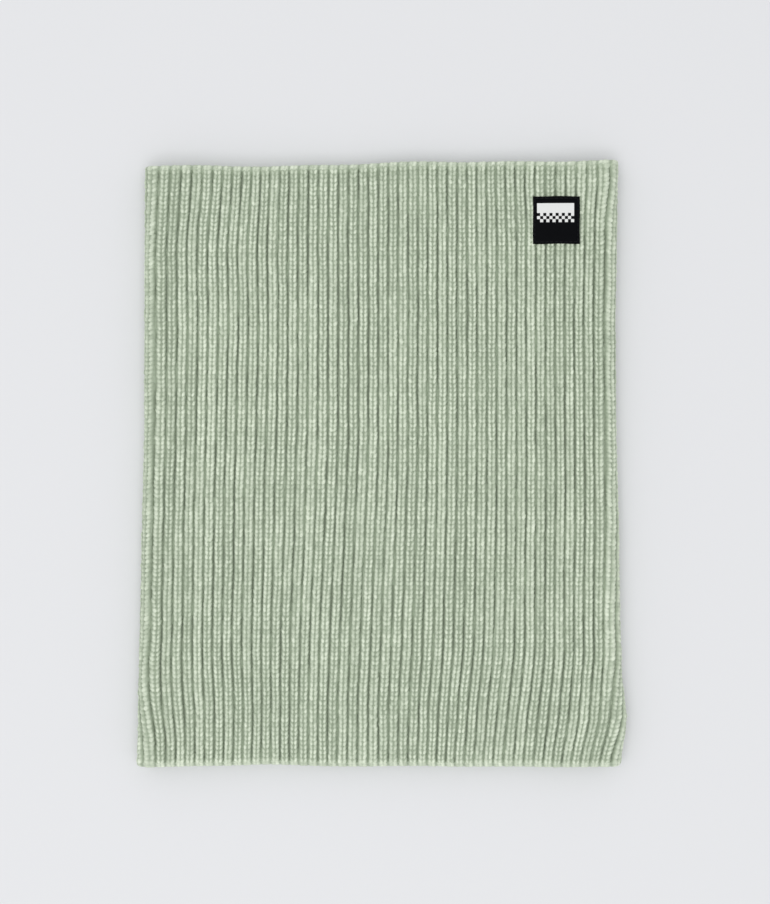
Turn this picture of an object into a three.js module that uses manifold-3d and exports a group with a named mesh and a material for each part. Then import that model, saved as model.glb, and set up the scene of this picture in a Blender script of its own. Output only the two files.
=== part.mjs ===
// A rib-knit neck gaiter, lying flat as it is put down or packed: a knitted panel folded round into
// a tube, closed by one yarn seam down the middle of the back, with a finished edge at each end,
// a small woven label on the front and a folded care label inside.
//
// Millimetres, +Z up. X runs across the tube from fold to fold, Y along it with the top edge at +Y,
// and Z through the two layers. The origin is the middle of the underside.

import * as THREE from "three";
import { mergeVertices } from "three/addons/utils/BufferGeometryUtils.js";
import Module from "manifold-3d";

// ---- Driving dimensions -------------------------------------------------------------------------

// The tube, flat
const TUBE_WIDTH = 236; // fold to fold, from the top edge to the middle
const TUBE_LENGTH = 302; // finished edge to finished edge
const FLARE = 4; // how much further out each fold lies at the bottom edge
const FLARE_LENGTH = 180; // stretch above the bottom edge over which the folds move out
const WALL = 4; // one layer of rib knit, rib crest to inner face
const OPENING = 6; // free height between the two layers

// One-by-one ribs
const RIB_PITCH = 4.95; // groove to groove
const GROOVE_MOUTH = 1.1;
const GROOVE_FLOOR = 0.5;
const GROOVE_DEPTH = 0.9;

// Seam down the middle of the back
const SELVEDGE_SPACE = 0.8; // between the two edges of the panel
const SEAM_YARN_WIDTH = 2.6;
const SEAM_YARN_THICKNESS = 1.6;

// Finished edges: a cast-off row at the top, a cast-on row at the bottom
const EDGE_HEIGHT = 3.6;
const EDGE_INSET = 0.4; // how far the row's outer face lies behind the rib crests

// Bartacks that lock the two ends of the seam
const BARTACK_WIDTH = 7;
const BARTACK_LENGTH = 9;
const BARTACK_THICKNESS = 0.8;
const BARTACK_END_MARGIN = 0.5; // from the end of the tube

// Woven label on the front
const LABEL_WIDTH = 23.4;
const LABEL_HEIGHT = 23.8;
const LABEL_THICKNESS = 0.9;
const LABEL_FROM_FOLD = 19; // label edge to the fold at +X
const LABEL_FROM_TOP = 17; // label edge to the top edge of the tube
const LABEL_THREAD_INSET = 0.9; // label edge to the line of stitches
const LABEL_THREAD_WIDTH = 0.6;
const LABEL_THREAD_THICKNESS = 0.3;

// Care label inside, its two ends caught in the seam
const CARE_WIDTH = 26; // seam to fold, across the tube
const CARE_HEIGHT = 32; // along the tube
const CARE_PLY = 0.3;
const CARE_PLY_SPACE = 0.3; // between the two plies of the folded label
const CARE_FROM_BOTTOM = 70; // label edge to the bottom edge of the tube

const GAP = 0.3; // clearance between pieces that touch
const FOLD_STEPS = 10; // straight facets round each side fold of a smooth face

// ---- Sizes that follow --------------------------------------------------------------------------

const TUBE_HEIGHT = 2 * WALL + OPENING;
const FOLD_RADIUS = TUBE_HEIGHT / 2 - WALL / 2; // of the wall's middle line, round a side fold
const TUBE_TOP = TUBE_LENGTH / 2;
const TUBE_BOTTOM = -TUBE_LENGTH / 2;
const INNER_BACK_Z = WALL; // inner face of the back layer
const SEAM_CHANNEL_WIDTH = SEAM_YARN_WIDTH + 2 * GAP;
const SEAM_CHANNEL_DEPTH = SEAM_YARN_THICKNESS + GAP;
const PANEL_TOP = TUBE_TOP - EDGE_HEIGHT - GAP;
const PANEL_BOTTOM = TUBE_BOTTOM + EDGE_HEIGHT + GAP;
const RIB_COUNT = 2 * Math.round(wallLineLength(TUBE_WIDTH / 2) / (2 * RIB_PITCH));

// ---- Materials ----------------------------------------------------------------------------------

const SAGE_KNIT = new THREE.MeshStandardMaterial({ color: 0xaab6a1, roughness: 0.95, metalness: 0 });
const SAGE_YARN = new THREE.MeshStandardMaterial({ color: 0xa0ad97, roughness: 0.9, metalness: 0 });
const LABEL_CLOTH = new THREE.MeshStandardMaterial({ color: 0x17181b, roughness: 0.7, metalness: 0 });
const LABEL_THREAD = new THREE.MeshStandardMaterial({ color: 0x26272b, roughness: 0.6, metalness: 0 });
const CARE_SATIN = new THREE.MeshStandardMaterial({ color: 0xe8e8e2, roughness: 0.5, metalness: 0 });

// ---- The wall's middle line ---------------------------------------------------------------------

// Distance from the middle of the tube to the fold at height y along it.
function foldReach(y) {
  const share = THREE.MathUtils.smoothstep(TUBE_BOTTOM + FLARE_LENGTH - y, 0, FLARE_LENGTH);
  return TUBE_WIDTH / 2 + FLARE * share;
}

// Half the straight run of the middle line, between the two folds.
function straightHalf(reach) {
  return reach - TUBE_HEIGHT / 2;
}

// Length of the middle line once round the tube.
function wallLineLength(reach) {
  return 4 * straightHalf(reach) + 2 * Math.PI * FOLD_RADIUS;
}

// The point at distance s round the middle line, moved outwards by offset. s starts at the seam, in
// the middle of the back layer, and runs along +X, up round the fold and back over the front layer.
function wallPoint(s, offset, reach) {
  const half = straightHalf(reach);
  const arc = Math.PI * FOLD_RADIUS;
  const middleZ = TUBE_HEIGHT / 2;
  const radius = FOLD_RADIUS + offset;
  if (s <= half) return new THREE.Vector2(s, middleZ - radius);
  if (s <= half + arc) {
    const angle = (s - half) / FOLD_RADIUS - Math.PI / 2;
    return new THREE.Vector2(half + radius * Math.cos(angle), middleZ + radius * Math.sin(angle));
  }
  if (s <= 3 * half + arc) return new THREE.Vector2(2 * half + arc - s, middleZ + radius);
  if (s <= 3 * half + 2 * arc) {
    const angle = (s - 3 * half - arc) / FOLD_RADIUS + Math.PI / 2;
    return new THREE.Vector2(radius * Math.cos(angle) - half, middleZ + radius * Math.sin(angle));
  }
  return new THREE.Vector2(s - wallLineLength(reach), middleZ - radius);
}

// Distances round a smooth face from one selvedge to the other: its ends and the facets of the folds.
function smoothStops(reach, fromSeam) {
  const half = straightHalf(reach);
  const arc = Math.PI * FOLD_RADIUS;
  const stops = [fromSeam];
  for (const start of [half, 3 * half + arc]) {
    for (let step = 0; step <= FOLD_STEPS; step++) stops.push(start + (arc * step) / FOLD_STEPS);
  }
  stops.push(wallLineLength(reach) - fromSeam);
  return stops;
}

// ---- Sections -----------------------------------------------------------------------------------

// The ribbed panel cut across at height y: ribs outside, a smooth inside with the seam's channel.
function panelSection(y) {
  const reach = foldReach(y);
  const round = wallLineLength(reach);
  const pitch = round / RIB_COUNT;
  const crest = WALL / 2;
  const floor = WALL / 2 - GROOVE_DEPTH;
  const points = [wallPoint(SELVEDGE_SPACE / 2, floor, reach)];
  for (let rib = 0; rib < RIB_COUNT; rib++) {
    const before = rib * pitch;
    const after = before + pitch;
    if (rib > 0) points.push(wallPoint(before + GROOVE_FLOOR / 2, floor, reach));
    points.push(wallPoint(before + GROOVE_MOUTH / 2, crest, reach));
    points.push(wallPoint(after - GROOVE_MOUTH / 2, crest, reach));
    if (rib < RIB_COUNT - 1) points.push(wallPoint(after - GROOVE_FLOOR / 2, floor, reach));
  }
  points.push(wallPoint(round - SELVEDGE_SPACE / 2, floor, reach));

  const inner = -WALL / 2;
  const channel = inner + SEAM_CHANNEL_DEPTH;
  points.push(wallPoint(round - SELVEDGE_SPACE / 2, channel, reach));
  points.push(wallPoint(round - SEAM_CHANNEL_WIDTH / 2, channel, reach));
  for (const s of smoothStops(reach, SEAM_CHANNEL_WIDTH / 2).reverse()) {
    points.push(wallPoint(s, inner, reach));
  }
  points.push(wallPoint(SEAM_CHANNEL_WIDTH / 2, channel, reach));
  points.push(wallPoint(SELVEDGE_SPACE / 2, channel, reach));
  return { y, points };
}

// A finished edge cut across at height y: a smooth band that follows the end of the panel.
function edgeSection(y) {
  const reach = foldReach(y);
  const stops = smoothStops(reach, SELVEDGE_SPACE / 2);
  const outside = stops.map((s) => wallPoint(s, WALL / 2 - EDGE_INSET, reach));
  const inside = stops.map((s) => wallPoint(s, -WALL / 2, reach)).reverse();
  return { y, points: [...outside, ...inside] };
}

// A closed solid through sections that share one number of points, from the lowest y to the highest.
function loft(sections) {
  const count = sections[0].points.length;
  const position = sections.flatMap(({ y, points }) => points.flatMap((p) => [p.x, y, p.y]));
  const index = [];
  for (let level = 0; level < sections.length - 1; level++) {
    for (let i = 0; i < count; i++) {
      const a = level * count + i;
      const b = level * count + ((i + 1) % count);
      index.push(a, a + count, b + count, a, b + count, b);
    }
  }
  const last = (sections.length - 1) * count;
  for (const [a, b, c] of THREE.ShapeUtils.triangulateShape(sections[0].points, [])) {
    index.push(a, b, c);
  }
  for (const [a, b, c] of THREE.ShapeUtils.triangulateShape(sections.at(-1).points, [])) {
    index.push(last + a, last + c, last + b);
  }
  const geometry = new THREE.BufferGeometry();
  geometry.setAttribute("position", new THREE.Float32BufferAttribute(position, 3));
  geometry.setIndex(index);
  geometry.computeVertexNormals();
  return geometry;
}

// ---- Cutting ------------------------------------------------------------------------------------

const wasm = await Module();
wasm.setup();

function solidFrom(geometry) {
  const bare = geometry.clone();
  bare.deleteAttribute("normal");
  bare.deleteAttribute("uv");
  const merged = mergeVertices(bare);
  const mesh = new wasm.Mesh({
    numProp: 3,
    vertProperties: merged.attributes.position.array,
    triVerts: new Uint32Array(merged.index.array),
  });
  return new wasm.Manifold(mesh);
}

function geometryFrom(solid) {
  const mesh = solid.getMesh();
  const geometry = new THREE.BufferGeometry();
  geometry.setAttribute("position", new THREE.BufferAttribute(mesh.vertProperties, 3));
  geometry.setIndex(new THREE.BufferAttribute(mesh.triVerts, 1));
  geometry.computeVertexNormals();
  return geometry;
}

// ---- Pieces -------------------------------------------------------------------------------------

function named(name, geometry, material) {
  const mesh = new THREE.Mesh(geometry, material);
  mesh.name = name;
  return mesh;
}

// The knitted panel, folded round into the tube. The flare is curved, so it takes several sections.
function ribPanel() {
  const steps = 5;
  const flareTop = TUBE_BOTTOM + FLARE_LENGTH;
  const levels = [];
  for (let step = 0; step <= steps; step++) {
    levels.push(PANEL_BOTTOM + ((flareTop - PANEL_BOTTOM) * step) / steps);
  }
  levels.push(PANEL_TOP);
  return named("rib_panel", loft(levels.map(panelSection)), SAGE_KNIT);
}

function finishedEdge(name, low, high) {
  return named(name, loft([edgeSection(low), edgeSection(high)]), SAGE_YARN);
}

// The yarn that links the two selvedges, lying in its channel on the inside of the back layer.
function backSeamYarn() {
  const length = PANEL_TOP - PANEL_BOTTOM;
  const outline = new THREE.Shape();
  outline.absellipse(0, 0, SEAM_YARN_WIDTH / 2, SEAM_YARN_THICKNESS / 2, 0, 2 * Math.PI, false, 0);
  const geometry = new THREE.ExtrudeGeometry(outline, {
    depth: length,
    steps: 1,
    curveSegments: 6,
    bevelEnabled: false,
  });
  const yarn = named("back_seam_yarn", geometry, SAGE_YARN);
  yarn.rotation.x = Math.PI / 2; // the extrusion runs towards -Y
  yarn.position.set(0, PANEL_TOP, INNER_BACK_Z - SEAM_YARN_THICKNESS / 2);
  return yarn;
}

// A block of close stitches across the inside of the seam at one end of the tube.
function bartack(name, y) {
  const geometry = new THREE.BoxGeometry(BARTACK_WIDTH, BARTACK_LENGTH, BARTACK_THICKNESS);
  const block = named(name, geometry, SAGE_YARN);
  block.position.set(0, y, INNER_BACK_Z + GAP + BARTACK_THICKNESS / 2);
  return block;
}

// A flat frame of the stitch line's width, grown on all sides by the clearance that is asked for.
function stitchFrame(clearance, thickness) {
  const outerX = LABEL_WIDTH / 2 - LABEL_THREAD_INSET + clearance;
  const outerY = LABEL_HEIGHT / 2 - LABEL_THREAD_INSET + clearance;
  const band = LABEL_THREAD_WIDTH + 2 * clearance;
  const corners = (x, y) => [
    new THREE.Vector2(-x, -y),
    new THREE.Vector2(x, -y),
    new THREE.Vector2(x, y),
    new THREE.Vector2(-x, y),
  ];
  const outline = new THREE.Shape(corners(outerX, outerY));
  outline.holes.push(new THREE.Path(corners(outerX - band, outerY - band)));
  return new THREE.ExtrudeGeometry(outline, { depth: thickness, steps: 1, bevelEnabled: false });
}

// The label and its stitches share one group, whose z = 0 is the underside of the label.
function frontLabel() {
  const slab = new THREE.BoxGeometry(LABEL_WIDTH, LABEL_HEIGHT, LABEL_THICKNESS);
  slab.translate(0, 0, LABEL_THICKNESS / 2);
  const furrowDepth = LABEL_THREAD_THICKNESS + GAP;
  const furrow = stitchFrame(GAP, furrowDepth + 1); // stands 1 mm proud, so the cut is open on top
  furrow.translate(0, 0, LABEL_THICKNESS - furrowDepth);
  const cloth = geometryFrom(solidFrom(slab).subtract(solidFrom(furrow)));

  const thread = named("label_thread", stitchFrame(0, LABEL_THREAD_THICKNESS), LABEL_THREAD);
  thread.position.z = LABEL_THICKNESS - LABEL_THREAD_THICKNESS;

  const label = new THREE.Group();
  label.add(named("woven_label", cloth, LABEL_CLOTH), thread);
  label.position.set(
    foldReach(TUBE_TOP) - LABEL_FROM_FOLD - LABEL_WIDTH / 2,
    TUBE_TOP - LABEL_FROM_TOP - LABEL_HEIGHT / 2,
    TUBE_HEIGHT + GAP,
  );
  return label;
}

// A satin strip folded in two. It starts over the seam, which holds its ends, and lies to +X.
function careLabel() {
  const thickness = 2 * CARE_PLY + CARE_PLY_SPACE;
  const slotEnd = CARE_WIDTH - CARE_PLY;
  const outline = new THREE.Shape([
    new THREE.Vector2(0, 0),
    new THREE.Vector2(CARE_WIDTH, 0),
    new THREE.Vector2(CARE_WIDTH, thickness),
    new THREE.Vector2(0, thickness),
    new THREE.Vector2(0, thickness - CARE_PLY),
    new THREE.Vector2(slotEnd, thickness - CARE_PLY),
    new THREE.Vector2(slotEnd, CARE_PLY),
    new THREE.Vector2(0, CARE_PLY),
  ]);
  const geometry = new THREE.ExtrudeGeometry(outline, {
    depth: CARE_HEIGHT,
    steps: 1,
    bevelEnabled: false,
  });
  const label = named("care_label", geometry, CARE_SATIN);
  label.rotation.x = Math.PI / 2; // the extrusion runs towards -Y
  label.position.set(0, TUBE_BOTTOM + CARE_FROM_BOTTOM + CARE_HEIGHT, INNER_BACK_Z + GAP);
  return label;
}

// ---- Assembly -----------------------------------------------------------------------------------

const gaiter = new THREE.Group();
gaiter.add(
  ribPanel(),
  finishedEdge("top_cast_off_edge", TUBE_TOP - EDGE_HEIGHT, TUBE_TOP),
  finishedEdge("bottom_cast_on_edge", TUBE_BOTTOM, TUBE_BOTTOM + EDGE_HEIGHT),
  backSeamYarn(),
  bartack("top_bartack", TUBE_TOP - BARTACK_END_MARGIN - BARTACK_LENGTH / 2),
  bartack("bottom_bartack", TUBE_BOTTOM + BARTACK_END_MARGIN + BARTACK_LENGTH / 2),
  frontLabel(),
  careLabel(),
);

export default gaiter;
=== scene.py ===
"""A rib-knit neck gaiter in sage green, lying flat on a pale board.

The knit is real relief: every stitch of the one-by-one rib is two slanted legs of yarn that stand out
of the cloth, and the ribs lean, drift and draw in as those of a soft tube that was laid down by hand.
Metres, +Z up. X runs across the tube, Y along it with the top edge at +Y, and the front faces +Z.
"""

import logging
import math
from dataclasses import dataclass, field
from enum import Enum

import bpy
import numpy as np
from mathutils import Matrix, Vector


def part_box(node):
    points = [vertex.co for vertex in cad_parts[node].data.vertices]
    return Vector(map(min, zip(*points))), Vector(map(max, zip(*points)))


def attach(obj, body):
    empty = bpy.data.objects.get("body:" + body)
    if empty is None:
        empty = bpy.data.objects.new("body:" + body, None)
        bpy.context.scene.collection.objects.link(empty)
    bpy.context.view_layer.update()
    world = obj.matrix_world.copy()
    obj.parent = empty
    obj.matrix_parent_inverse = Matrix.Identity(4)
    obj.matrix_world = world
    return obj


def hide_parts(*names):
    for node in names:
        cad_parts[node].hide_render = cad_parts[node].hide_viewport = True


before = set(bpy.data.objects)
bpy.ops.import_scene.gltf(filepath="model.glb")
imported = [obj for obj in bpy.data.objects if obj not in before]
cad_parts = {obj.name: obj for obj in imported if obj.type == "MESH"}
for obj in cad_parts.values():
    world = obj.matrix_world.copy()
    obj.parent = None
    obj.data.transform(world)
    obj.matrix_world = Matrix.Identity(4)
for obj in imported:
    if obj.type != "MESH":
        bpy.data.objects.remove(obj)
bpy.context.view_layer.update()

MM = 0.001
BODY = "root"
STRAND_TWIST = 1.4 * MM  # length of one turn of the yarn or thread in a seam or a stitch
STRAND_RELIEF = 0.7  # how far up its own relief a strand takes its colour from, which sets how much painted shade it has
log = logging.getLogger("gaiter")


# ---- Helpers for colour and nodes -----------------------------------------------------------------


def linear(hex_colour: str) -> tuple[float, float, float, float]:
    """Turns an sRGB hex colour into the linear values that a shader takes.

    Args:
        hex_colour: six hex digits, such as "aab6a1".

    Returns:
        Linear red, green and blue, with an alpha of 1.
    """
    channels = [int(hex_colour[i : i + 2], 16) / 255 for i in (0, 2, 4)]
    values = [c / 12.92 if c <= 0.04045 else ((c + 0.055) / 1.055) ** 2.4 for c in channels]
    return (*values, 1.0)


def add_node(
    tree: bpy.types.NodeTree, kind: str, inputs: dict | None = None, **settings: object
) -> bpy.types.Node:
    """Adds one node, sets its properties and fills or links its sockets.

    Args:
        tree: the node tree that takes the node.
        kind: the node's type name.
        inputs: socket name or number to a value, or to the output socket that feeds it.
        settings: properties of the node itself.

    Returns:
        The new node.
    """
    node = tree.nodes.new(kind)
    for name, value in settings.items():
        setattr(node, name, value)
    for key, value in (inputs or {}).items():
        if isinstance(value, bpy.types.NodeSocket):
            tree.links.new(value, node.inputs[key])
        else:
            node.inputs[key].default_value = value
    return node


def new_material(name: str) -> tuple[bpy.types.Material, bpy.types.NodeTree]:
    """Makes an empty node material and gives it with its tree."""
    material = bpy.data.materials.new(name)
    material.use_nodes = True
    material.node_tree.nodes.clear()
    return material, material.node_tree


def wave_scale(spacing: float) -> float:
    """Gives the scale at which a wave texture's bands lie this far apart, in the coordinates' unit."""
    return math.pi / (10 * spacing)


def finish_surface(
    material: bpy.types.Material, height: bpy.types.NodeSocket, strength: float, depth_mm: float, inputs: dict
) -> bpy.types.Material:
    """Adds the surface shader with its bump, and the output it feeds.

    Args:
        material: the material, whose pattern is made.
        height: the pattern that the bump follows.
        strength: the bump's strength.
        depth_mm: how deep the pattern seems to be, in millimetres.
        inputs: the shader's other inputs.

    Returns:
        The same material, complete.
    """
    tree = material.node_tree
    pattern = {"Strength": strength, "Distance": depth_mm * MM, "Height": height}
    bump = add_node(tree, "ShaderNodeBump", pattern)
    shader = add_node(tree, "ShaderNodeBsdfPrincipled", {**inputs, "Normal": bump.outputs["Normal"]})
    add_node(tree, "ShaderNodeOutputMaterial", {"Surface": shader.outputs[0]})
    return material


# ---- Helpers for meshes ---------------------------------------------------------------------------


def smoothstep(start: float, end: float, value: np.ndarray) -> np.ndarray:
    """Rises smoothly from 0 at start to 1 at end, which may be the lower of the two."""
    t = np.clip((value - start) / (end - start), 0.0, 1.0)
    return t * t * (3 - 2 * t)


def hump(value: np.ndarray, middle: float, spread: float) -> np.ndarray:
    """Rises smoothly to 1 at the middle and dies away beyond the spread, on both sides."""
    return np.exp(-(((value - middle) / spread) ** 2))


def grid_quads(rows: int, columns: int, around: bool = True) -> np.ndarray:
    """Numbers the faces of a grid of points that is stored row by row.

    Args:
        rows: number of rows.
        columns: number of points in a row.
        around: True if the last column joins the first.

    Returns:
        Four point numbers per face, turning from the columns' way to the rows' way.
    """
    faces_across = columns if around else columns - 1
    row, column = np.meshgrid(np.arange(rows - 1), np.arange(faces_across), indexing="ij")
    a = row * columns + column
    b = row * columns + (column + 1) % columns
    return np.stack([a, b, b + columns, a + columns], axis=-1).reshape(-1, 4)


@dataclass
class Shape:
    """Points and faces of a mesh, with a bake map and point values where it has them."""

    points: np.ndarray
    quads: np.ndarray
    corner_uv: np.ndarray | None = None
    values: dict[str, np.ndarray] = field(default_factory=dict)

    def piece(self, name: str, material: bpy.types.Material, slot: str) -> bpy.types.Object:
        """Makes the mesh object, dresses it and lets it ride on the gaiter's body.

        Args:
            name: the piece's name.
            material: its material.
            slot: not used.

        Returns:
            The new object, smooth shaded.
        """
        mesh = bpy.data.meshes.new(name)
        mesh.vertices.add(len(self.points))
        mesh.vertices.foreach_set("co", np.ascontiguousarray(self.points, np.float32).ravel())
        mesh.loops.add(self.quads.size)
        mesh.loops.foreach_set("vertex_index", np.ascontiguousarray(self.quads, np.int32).ravel())
        mesh.polygons.add(len(self.quads))
        mesh.polygons.foreach_set("loop_start", np.arange(0, self.quads.size, 4, dtype=np.int32))
        mesh.update(calc_edges=True)
        if self.corner_uv is not None:
            layer = mesh.uv_layers.new(name="OFBake")
            layer.data.foreach_set("uv", np.ascontiguousarray(self.corner_uv, np.float32).ravel())
        for attribute, numbers in self.values.items():
            made = mesh.attributes.new(attribute, "FLOAT", "POINT")
            made.data.foreach_set("value", np.ascontiguousarray(numbers, np.float32).ravel())
        mesh.validate()
        mesh.shade_smooth()
        mesh.materials.append(material)
        obj = bpy.data.objects.new(name, mesh)
        bpy.context.collection.objects.link(obj)
        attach(obj, BODY)
        log.info("%s: %d points, %d faces", name, len(self.points), len(self.quads))
        return obj


def joined(shapes: list[Shape]) -> Shape:
    """Puts several bare shapes into one.

    Args:
        shapes: the shapes, whose values have the same names.

    Returns:
        One shape that holds them all, without bake maps.
    """
    offsets = np.cumsum([0] + [len(s.points) for s in shapes[:-1]])
    values = {key: np.concatenate([s.values[key] for s in shapes]) for key in shapes[0].values}
    return Shape(
        np.concatenate([s.points for s in shapes]),
        np.concatenate([s.quads + offset for s, offset in zip(shapes, offsets)]),
        values=values,
    )


def strand(path: np.ndarray, radius: float, sides: int = 8) -> Shape:
    """Sweeps a round section along a path and tapers both ends shut.

    Args:
        path: points along the middle, one row each.
        radius: radius of the section.
        sides: number of sides of the section, an even number.

    Returns:
        The closed strand, with the point values that yarn takes.
    """
    tangent = np.gradient(path, axis=0)
    tangent /= np.linalg.norm(tangent, axis=1, keepdims=True)
    # Where the path stands nearly upright, another way serves as up.
    up = np.where(np.abs(tangent[:, 2:]) > 0.95, [[0.0, 1.0, 0.0]], [[0.0, 0.0, 1.0]])
    side = np.cross(tangent, up)
    side /= np.linalg.norm(side, axis=1, keepdims=True)
    rise = np.cross(side, tangent)
    # The first and last points of the path draw the ends in to a round.
    from_end = np.minimum(np.arange(len(path)), np.arange(len(path))[::-1])
    taper = radius * np.sqrt(np.clip((from_end + 0.15) / 2.0, 0, 1))
    angle = np.linspace(0, 2 * math.pi, sides, endpoint=False)
    ring = np.cos(angle)[None, :, None] * side[:, None] + np.sin(angle)[None, :, None] * rise[:, None]
    points = (path[:, None] + taper[:, None, None] * ring).reshape(-1, 3)
    quads = [grid_quads(len(path), sides)]
    last = (len(path) - 1) * sides
    for i in range(1, sides - 2, 2):
        quads.append(np.array([[0, i + 2, i + 1, i]]))
        quads.append(np.array([[last, last + i, last + i + 1, last + i + 2]]))
    length = np.concatenate([[0], np.cumsum(np.linalg.norm(np.diff(path, axis=0), axis=1))])
    twist = (2 * math.pi * length[:, None] / STRAND_TWIST + angle[None, :]).ravel()
    values = {"tone": np.zeros(len(points)), "relief": np.full(len(points), STRAND_RELIEF), "twist": twist}
    return Shape(points, np.concatenate(quads), values=values)


def slab(top: np.ndarray, bottom: np.ndarray) -> Shape:
    """Closes two grids of points, one over the other, into a thin solid.

    Args:
        top: rows by columns by three.
        bottom: the same size, below it.

    Returns:
        The closed solid, with its upper side turning the way the grid's rows and columns do.
    """
    rows, columns = top.shape[:2]
    face = grid_quads(rows, columns, around=False)
    count = rows * columns
    index = np.arange(count).reshape(rows, columns)
    rim = np.concatenate([index[0, :-1], index[:-1, -1], index[-1, :0:-1], index[:0:-1, 0]])
    after = np.roll(rim, -1)
    wall = np.stack([rim + count, after + count, after, rim], axis=-1)
    quads = np.concatenate([face, face[:, ::-1] + count, wall])
    return Shape(np.concatenate([top.reshape(-1, 3), bottom.reshape(-1, 3)]), quads)


# ---- Finishes -------------------------------------------------------------------------------------


@dataclass(frozen=True)
class SpunYarn:
    """Soft spun wool-blend yarn, two plies twisted together, dyed in the yarn and knitted.

    It gives the eye a matt, slightly hairy surface whose fibres catch the light at a grazing angle,
    faint twist lines on every leg, and small differences of tone from stitch to stitch. Its colour also
    holds painted shade, darkest in the grooves, and a painted highlight along each leg.
    """

    name: str = "spun_wool_blend_yarn_knitted"
    pale: str = "eaf3df"
    middle: str = "b0bda6"
    # Painted shade: the side colour lies on the ribs' flanks, and the colour below it in the grooves, where
    # it also gives the dark flecks.
    side: str = "a9b6a0"
    groove_shade_and_fleck: str = "9da994"
    sheen: str = "eef3e6"
    fibre_mm: float = 0.45  # real fibres are 0.02 mm thick; drawn coarse enough to show
    fleck_mm: float = 1.2  # about one ply's length between two turns of its twist
    dye_patch_mm: float = 38.0

    def build(self) -> bpy.types.Material:
        """Makes the material.

        Returns:
            The yarn's material. It reads the point values tone, relief and twist of the mesh.
        """
        material, tree = new_material(self.name)
        place = add_node(tree, "ShaderNodeTexCoord").outputs["Object"]
        fibre, patch, fleck = (
            add_node(
                tree,
                "ShaderNodeTexNoise",
                {"Vector": place, "Scale": 1 / (size_mm * MM), "Detail": detail, "Roughness": 0.6},
            ).outputs[0]
            for size_mm, detail in ((self.fibre_mm, 4.0), (self.dye_patch_mm, 2.0), (self.fleck_mm, 1.5))
        )
        tone, relief, twist = (
            add_node(tree, "ShaderNodeAttribute", attribute_name=value).outputs["Fac"]
            for value in ("tone", "relief", "twist")
        )
        ply = add_node(tree, "ShaderNodeMath", {0: twist}, operation="SINE").outputs[0]

        # How pale the yarn is, from its middle green to the pale tops of the fibres; the tone brings in the
        # legs' painted highlight and shade.
        paleness = 0.04
        for part, weight in ((fibre, 0.8), (patch, 0.12), (tone, 0.3), (ply, 0.05)):
            summed = {0: part, 1: weight, 2: paleness}
            paleness = add_node(tree, "ShaderNodeMath", summed, operation="MULTIPLY_ADD").outputs[0]
        ends = {0: paleness, 6: linear(self.middle), 7: linear(self.pale)}
        body = add_node(tree, "ShaderNodeMix", ends, data_type="RGBA").outputs[2]

        groove_shade_fade, crest, flecks = (
            add_node(
                tree,
                "ShaderNodeMapRange",
                {"Value": value, "From Min": low, "From Max": high, "To Min": least, "To Max": most},
            ).outputs[0]
            for value, low, high, least, most in (
                (relief, 0.1, 0.55, 0.25, 1.0),
                (relief, 0.5, 0.93, 0.0, 1.0),
                (fleck, 0.4, 0.66, 0.0, 0.22),
            )
        )
        toned = {0: tone, 1: 0.4, 2: groove_shade_fade}
        groove_shade_fade = add_node(tree, "ShaderNodeMath", toned, operation="MULTIPLY_ADD").outputs[0]

        # Painted shade: the yarn starts from the deep colour at the grooves' floors, turns to the side colour
        # up the ribs' flanks and shows its own colour on the crests; flecks take the deep colour again.
        colour = groove_shade_and_fleck = linear(self.groove_shade_and_fleck)
        for factor, over in ((groove_shade_fade, linear(self.side)), (crest, body), (flecks, groove_shade_and_fleck)):
            layer = {0: factor, 6: colour, 7: over}
            colour = add_node(tree, "ShaderNodeMix", layer, data_type="RGBA").outputs[2]

        hairy = {0: ply, 1: 0.35, 2: fibre}
        height = add_node(tree, "ShaderNodeMath", hairy, operation="MULTIPLY_ADD").outputs[0]
        look = {
            "Base Color": colour, "Roughness": 0.92, "IOR": 1.45, "Specular IOR Level": 0.25,
            "Sheen Weight": 0.35, "Sheen Roughness": 0.45, "Sheen Tint": linear(self.sheen),
        }
        return finish_surface(material, height, 0.55, 0.16, look)


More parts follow.
